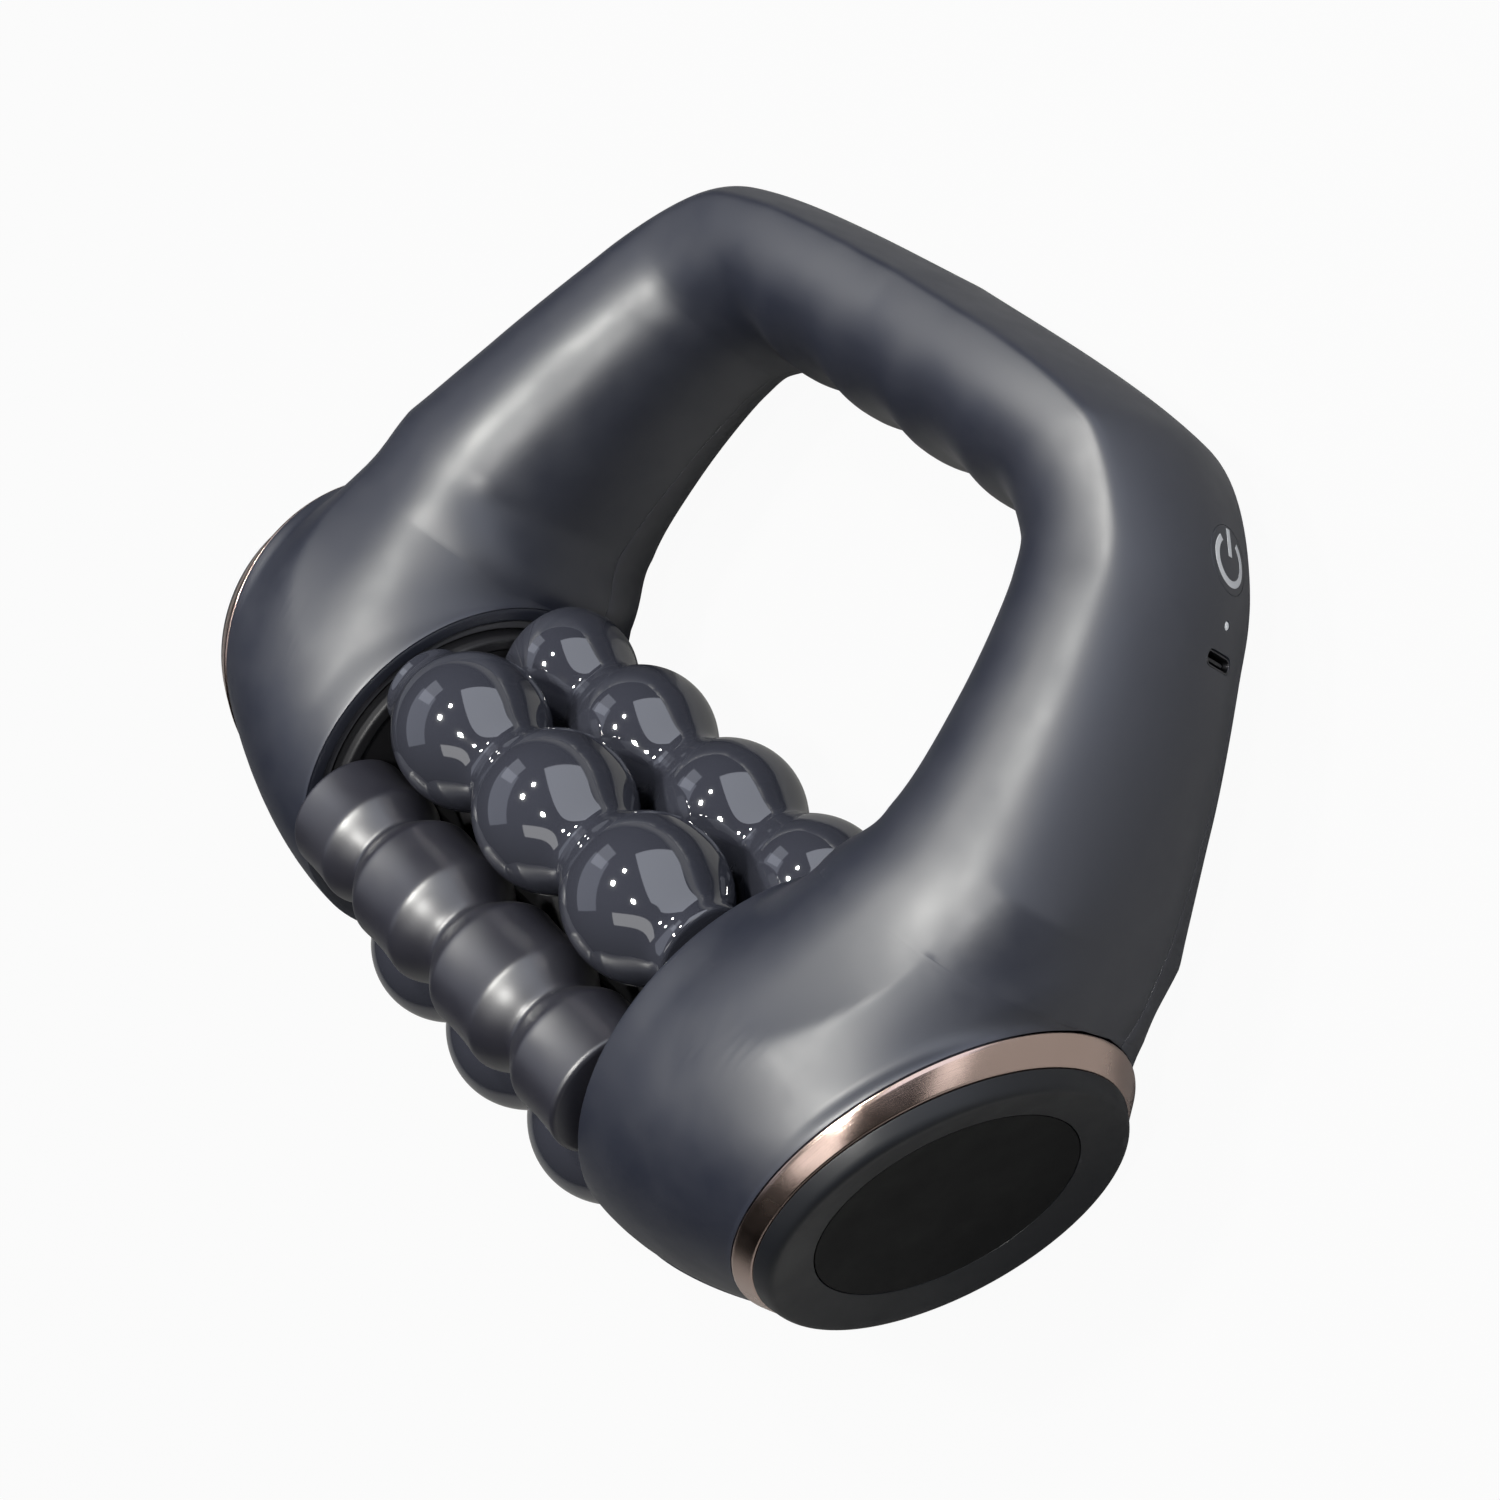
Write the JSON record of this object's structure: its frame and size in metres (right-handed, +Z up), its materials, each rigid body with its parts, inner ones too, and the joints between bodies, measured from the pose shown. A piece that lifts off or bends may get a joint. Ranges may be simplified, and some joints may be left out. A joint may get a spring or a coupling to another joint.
{
  "type": "electric massage roller",
  "caption": "Hand-held electric massager: a looped grip whose two barrels carry a motor-driven drum of beaded rollers.",
  "frame": {"origin": "centre of the bounding box at floor level, with the object lying on its back", "axes": "+X along the drum axis towards the side with the controls, +Y from the drum towards the grip, +Z up from the floor, away from the rear cover"},
  "size_m": [0.2392, 0.1978, 0.0932],
  "materials": {
    "slate_plastic": "satin",
    "rose_gold": "satin anodised",
    "black_plastic": "fine matt",
    "insert_black": "fine matt",
    "gloss_roller": "polished",
    "satin_roller": "satin",
    "carrier_plastic": "matt",
    "bezel_grey": "satin",
    "steel": "plain",
    "plated_bracket": "zinc plated",
    "gear_plastic": "natural acetal",
    "cell_sleeve": "sleeved",
    "circuit_board": "solder mask",
    "clear_light": "clear"
  },
  "bodies": {
    "housing": {"front_shell": "slate_plastic", "rear_cover": "slate_plastic", "case_screw_1": "steel", "case_screw_2": "steel", "case_screw_3": "steel", "case_screw_4": "steel", "case_screw_5": "steel", "case_screw_6": "steel", "trim_ring_left": "rose_gold", "trim_ring_right": "rose_gold", "end_cap_left": "black_plastic", "end_cap_right": "black_plastic", "cap_insert_left": "insert_black", "cap_insert_right": "insert_black", "mouth_bezel_left": "bezel_grey", "mouth_bezel_right": "bezel_grey", "bearing_plate_left": "carrier_plastic", "bearing_plate_right": "carrier_plastic", "drum_bearing_left": "steel", "drum_bearing_right": "steel", "gear_motor": "steel", "motor_bracket": "plated_bracket", "battery_cell_front": "cell_sleeve", "battery_cell_rear": "cell_sleeve", "battery_tray": "black_plastic", "control_board": "circuit_board", "button_switch": "black_plastic", "usb_socket": "steel", "light_pipe": "clear_light"},
    "drum": {"carrier_disc_left": "carrier_plastic", "carrier_disc_right": "carrier_plastic", "drum_core": "carrier_plastic", "drum_shaft": "steel", "drum_gear": "gear_plastic", "roller_axle_1": "steel", "roller_axle_2": "steel", "roller_axle_3": "steel", "roller_axle_4": "steel", "roller_axle_5": "steel", "roller_axle_6": "steel"},
    "roller_body_1": {"roller_1": "gloss_roller"},
    "roller_body_2": {"roller_2": "gloss_roller"},
    "roller_body_3": {"roller_3": "satin_roller"},
    "roller_body_4": {"roller_4": "gloss_roller"},
    "roller_body_5": {"roller_5": "gloss_roller"},
    "roller_body_6": {"roller_6": "gloss_roller"},
    "pinion": {"motor_pinion": "gear_plastic"},
    "button": {"power_button": "slate_plastic"}
  },
  "joints": [
    {"name": "drum_spin", "type": "hinge", "parent": "housing", "child": "drum", "pos_m": [0, -0.04964, 0.04709], "axis": [1, 0, 0], "continuous": true},
    {"name": "roller_1_spin", "type": "hinge", "parent": "drum", "child": "roller_body_1", "pos_m": [0, -0.01755, 0.04265], "axis": [1, 0, 0], "continuous": true},
    {"name": "roller_2_spin", "type": "hinge", "parent": "drum", "child": "roller_body_2", "pos_m": [0, -0.02974, 0.07267], "axis": [1, 0, 0], "continuous": true},
    {"name": "roller_3_spin", "type": "hinge", "parent": "drum", "child": "roller_body_3", "pos_m": [0, -0.06184, 0.07711], "axis": [1, 0, 0], "continuous": true},
    {"name": "roller_4_spin", "type": "hinge", "parent": "drum", "child": "roller_body_4", "pos_m": [0, -0.08173, 0.05154], "axis": [1, 0, 0], "continuous": true},
    {"name": "roller_5_spin", "type": "hinge", "parent": "drum", "child": "roller_body_5", "pos_m": [0, -0.06954, 0.02152], "axis": [1, 0, 0], "continuous": true},
    {"name": "roller_6_spin", "type": "hinge", "parent": "drum", "child": "roller_body_6", "pos_m": [0, -0.03744, 0.01708], "axis": [1, 0, 0], "continuous": true},
    {"name": "motor_pinion_spin", "type": "hinge", "parent": "housing", "child": "pinion", "pos_m": [0, -0.02178, 0.04324], "axis": [1, 0, 0], "continuous": true},
    {"name": "power_button_press", "type": "slide", "parent": "housing", "child": "button", "axis": [-0.7552, -0.6493, 0.0899], "range_m": [0, 0.0008], "stiffness_N_per_m": 800, "springref_m": -0.002}
  ],
  "couplings": [
    {"joint": "motor_pinion_spin", "follows": "drum_spin", "ratio": -4}
  ]
}
